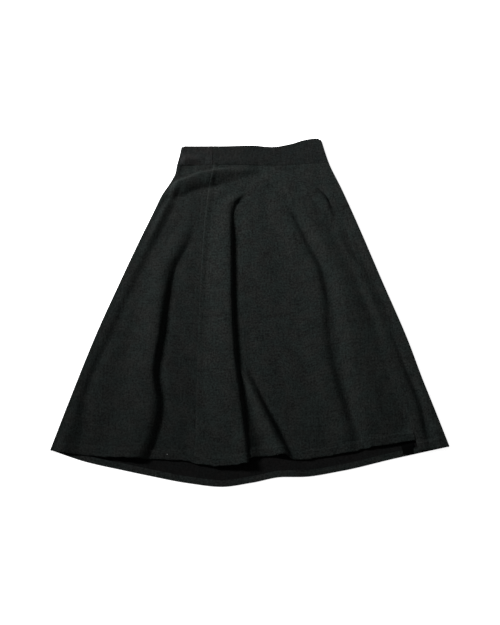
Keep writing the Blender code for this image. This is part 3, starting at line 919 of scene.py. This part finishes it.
def build_back():
    points = back_points(from_left_roll(LEFT_BACK_SEAM))
    edge = rolled_to_seam(LEFT_EDGE, -1.0, points[:, -1, 1], upper=False)
    points = np.concatenate([points, edge[:, 1:]], axis=1)
    materials = both_sides("wool_back", BACK_BLACK)
    left = panel("back_left_cloth", points, materials, "back_left_panel")
    points = back_points(between_seams(LEFT_BACK_SEAM, RIGHT_BACK_SEAM))
    centre = panel("back_centre_cloth", points, materials, "back_centre_panel")
    front = front_points(to_right_roll(RIGHT_SIDE_SEAM), wrapped_hem)
    edge = rolled_over(front[:, -1, 1])
    back = back_points(to_right_roll(RIGHT_BACK_SEAM))
    points = np.concatenate([front, edge[:, 1:-1], back], axis=1)
    materials = both_sides("wool_back_right", SIDE_BLACK)
    right = panel("back_right_cloth", points, materials, "back_right_panel")


def rounded(distance):
    """How far a band's edge is rounded down at this distance from it."""
    share = 1 - np.clip(distance / BAND_ROUND, 0.0, 1.0)
    return BAND_ROUND * (1 - np.sqrt(1 - share**2))


def band_points(ends):
    """(across, down, bottom) of a stretch of the waistband, from its top to the seam under it."""
    return flat_grid(ends, waist_top, band_seam_at, BESIDE_SEAM, BAND_ROWS)


def band_front_points(ends):
    across, down, bottom = band_points(ends)
    radius = roll_radius(down)
    relief = relief_of(UNEVEN_BAND, across, down)
    relief += wrinkles_at(across, down)
    for seam in BAND_GROOVES:
        distance = np.abs(across - across_at(seam.course, down))
        relief -= groove(seam.depth, distance)
        beside = 1 - ease((distance - BESIDE_GROOVE_WIDTH) / BESIDE_GROOVE_FADE)
        relief += BESIDE_GROOVE * seam.depth * beside
    height = 2 * BAND_CLOTH + LAYER_GAP + BAND_PUFF + relief
    height = 2 * radius + (height - 2 * radius) * away_from_edges(across, down)
    return stack(across, down, height - rounded(down - waist_top(across)) - rounded(bottom - down))


def build_waistband():
    points = with_left_edge(band_front_points(from_left_roll(LEFT_FRONT_SEAM)))
    materials = both_sides("wool_band_left", BAND_LEFT_BLACK)
    left = cloth_shell("band_left_cloth", in_frame(points), BAND_CLOTH, materials, "band_front_left")
    points = band_front_points(between_seams(LEFT_FRONT_SEAM, RIGHT_FRONT_SEAM))
    materials = both_sides("wool_band_centre", BAND_CENTRE_BLACK)
    centre = cloth_shell("band_centre_cloth", in_frame(points), BAND_CLOTH, materials, "band_front_centre")
    points = band_front_points(to_right_roll(RIGHT_FRONT_SEAM))
    edge = rolled_to_seam(RIGHT_EDGE, 1.0, points[:, -1, 1], upper=True)
    points = np.concatenate([points, edge[:, 1:]], axis=1)
    materials = both_sides("wool_band_right", BAND_RIGHT_BLACK)
    right = cloth_shell("band_right_cloth", in_frame(points), BAND_CLOTH, materials, "band_front_right")
    across, down, _ = band_points(between_rolls)
    back = stack(across, down, 0.0)[:, ::-1]
    right_edge = rolled_to_seam(RIGHT_EDGE, 1.0, back[:, 0, 1], upper=False)
    left_edge = rolled_to_seam(LEFT_EDGE, -1.0, back[:, -1, 1], upper=False)
    points = np.concatenate([right_edge[:, :0:-1], back, left_edge[:, 1:]], axis=1)
    back = cloth_shell("band_back_cloth", in_frame(points), BAND_CLOTH, materials, "band_back")


def build_vent_facing():
    down = np.linspace(VENT_FACING_LEFT[0].down, VENT_FACING_LEFT[-1].down, FACING_ROWS)[:, None]
    left = across_at(VENT_FACING_LEFT, down)
    width = across_at(VENT_FACING_RIGHT, down) - left
    across = left + width * np.linspace(0.0, 1.0, FACING_COLUMNS)
    down = np.broadcast_to(down, across.shape)
    height = over_back(across, down) + FACING_CLOTH + relief_of(UNEVEN_FACING, across, down)
    points = in_frame(stack(across, down, height))
    facing = cloth_shell("vent_facing_cloth", points, FACING_CLOTH, [facing_cloth()], "vent_facing")


def new_material(name, surface):
    """A material whose shader has these values, and the shader."""
    material = bpy.data.materials.new(name)
    material.use_nodes = True
    shader = material.node_tree.nodes["Principled BSDF"]
    for socket, value in surface.items():
        shader.inputs[socket].default_value = value
    return material, shader


def feed(material, end, socket, value):
    """Give a node's input a value, or join another node's output to it."""
    if isinstance(value, bpy.types.NodeSocket):
        material.node_tree.links.new(value, end.inputs[socket])
    else:
        end.inputs[socket].default_value = value


def node(material, kind, inputs, **settings):
    """A new node with these settings. Each of its inputs takes a value or another node's output."""
    made = material.node_tree.nodes.new(kind)
    for name, value in settings.items():
        setattr(made, name, value)
    for socket, value in inputs.items():
        feed(material, made, socket, value)
    return made


def maths(material, operation, first, second):
    return node(material, "ShaderNodeMath", {0: first, 1: second}, operation=operation).outputs[0]


def blend(material, factor, first, second, way="MIX"):
    """A colour between two."""
    inputs = {0: factor, 6: first, 7: second}
    return node(material, "ShaderNodeMix", inputs, data_type="RGBA", blend_type=way).outputs[2]


def widened(material, value, span):
    """A value's part within a span, widened so that it runs from 0 to 1."""
    inputs = {0: value, "From Min": span[0], "From Max": span[1]}
    return node(material, "ShaderNodeMapRange", inputs).outputs[0]


def weighted(material, layers, weights):
    """The sum of these layers, each times its weight."""
    parts = [maths(material, "MULTIPLY", layers[name], weight) for name, weight in weights.items()]
    total = parts[0]
    for part in parts[1:]:
        total = maths(material, "ADD", total, part)
    return total


def on_cloth(material):
    """The place on the flat cloth, which the patterns follow."""
    return node(material, "ShaderNodeUVMap", {}, uv_map="grain").outputs[0]


def wool_layers(material, grain):
    """The patterns that brushed wool is mixed from, by name."""
    layers = {}
    for name, noise in WOOL_NOISES.items():
        place = node(material, "ShaderNodeMapping", {"Vector": grain, "Scale": noise.stretch}).outputs[0]
        inputs = {"Vector": place, "Scale": noise.scale, "Detail": noise.detail, "Roughness": NOISE_ROUGHNESS}
        layers[name] = node(material, "ShaderNodeTexNoise", inputs).outputs[0]
    twill = node(material, "ShaderNodeTexWave", {"Vector": grain, **TWILL}, bands_direction="DIAGONAL")
    layers["twill"] = twill.outputs[1]
    return layers


def lint_on(material, grain):
    """Where a few specks of lint lie."""
    specks = node(material, "ShaderNodeTexVoronoi", {"Vector": grain, "Scale": LINT_SCALE})
    parts = node(material, "ShaderNodeSeparateColor", {0: specks.outputs[1]})
    small = maths(material, "LESS_THAN", specks.outputs[0], LINT_SIZE)
    rare = maths(material, "GREATER_THAN", parts.outputs[0], LINT_RARITY)
    return maths(material, "MULTIPLY", maths(material, "MULTIPLY", small, rare), LINT_STRENGTH)


def wool(name, colour):
    """Brushed wool: short fibres over a fine twill, a little uneven in colour, with a few specks of lint."""
    material, shader = new_material(name, WOOL_SURFACE)
    grain = on_cloth(material)
    layers = wool_layers(material, grain)
    height = weighted(material, layers, WOOL_RELIEF)
    bump = node(material, "ShaderNodeBump", {**WOOL_BUMP, "Height": height})
    feed(material, shader, "Normal", bump.outputs[0])
    dark = (*(DARK_SHARE * part for part in colour), 1.0)
    light = (*(LIGHT_SHARE * part for part in colour), 1.0)
    mottle = widened(material, weighted(material, layers, WOOL_MOTTLE), MOTTLE_RANGE)
    clouds = widened(material, layers["clouds"], CLOUD_RANGE)
    cloth = blend(material, mottle, dark, light)
    tint = blend(material, clouds, COOL_TINT, GREY_TINT)
    cloth = blend(material, 1.0, cloth, tint, "MULTIPLY")
    feed(material, shader, "Base Color", blend(material, lint_on(material, grain), cloth, LINT_WHITE))
    return material


def both_sides(name, colour):
    """Wool of this colour for the outside, and a darker wool for the inside that all pieces share: partly the
    cloth's own darker reverse and partly painted shade, where the front hem's shadow falls on the inside
    showing under it.
    """
    return [wool(name, colour), bpy.data.materials.get("wool_inside_and_shade") or wool("wool_inside_and_shade", INSIDE_BLACK_AND_SHADE)]


def facing_cloth():
    material, shader = new_material("facing_cloth", FACING_SURFACE)
    weave = node(material, "ShaderNodeTexNoise", {"Vector": on_cloth(material), **FACING_WEAVE})
    bump = node(material, "ShaderNodeBump", {**FACING_BUMP, "Height": weave.outputs[0]})
    feed(material, shader, "Normal", bump.outputs[0])
    return material


def looking(place, aim):
    """The turn of a light or a camera at this place that looks at its aim."""
    return (Vector(aim) - Vector(place)).to_track_quat("-Z", "Y").to_euler()


def build_floor():
    bpy.ops.mesh.primitive_plane_add(size=FLOOR_SIDE, location=(0.0, 0.0, FLOOR_HEIGHT))
    floor = bpy.context.object
    floor.name = "floor"
    material, _ = new_material("pale_floor", FLOOR_SURFACE)
    floor.data.materials.append(material)


def build_light():
    world = bpy.data.worlds.new("studio")
    bpy.context.scene.world = world
    world.use_nodes = True
    background = world.node_tree.nodes["Background"]
    background.inputs["Color"].default_value = WORLD_WHITE
    background.inputs["Strength"].default_value = WORLD_LIGHT
    light = bpy.data.lights.new("key", "AREA")
    light.shape = "SQUARE"
    light.size = KEY_SIZE
    light.energy = KEY_POWER
    lamp = bpy.data.objects.new("key", light)
    lamp.location = KEY_PLACE
    lamp.rotation_euler = looking(KEY_PLACE, KEY_AIM)
    bpy.context.scene.collection.objects.link(lamp)
    bpy.context.scene.view_settings.view_transform = "Standard"


def build_camera():
    elevation = np.radians(CAMERA_ELEVATION)
    away = Vector((0.0, -np.cos(elevation), np.sin(elevation)))
    camera = bpy.data.objects.new("camera", bpy.data.cameras.new("camera"))
    camera.data.sensor_width = SENSOR_WIDTH
    camera.data.lens = CAMERA_LENS
    camera.data.clip_end = CLIP_END
    camera.location = Vector(CAMERA_TARGET) + CAMERA_DISTANCE * away
    camera.rotation_euler = looking(camera.location, CAMERA_TARGET)
    bpy.context.scene.collection.objects.link(camera)
    bpy.context.scene.camera = camera


build_front()
build_back()
build_waistband()
build_vent_facing()
build_floor()
build_light()
build_camera()
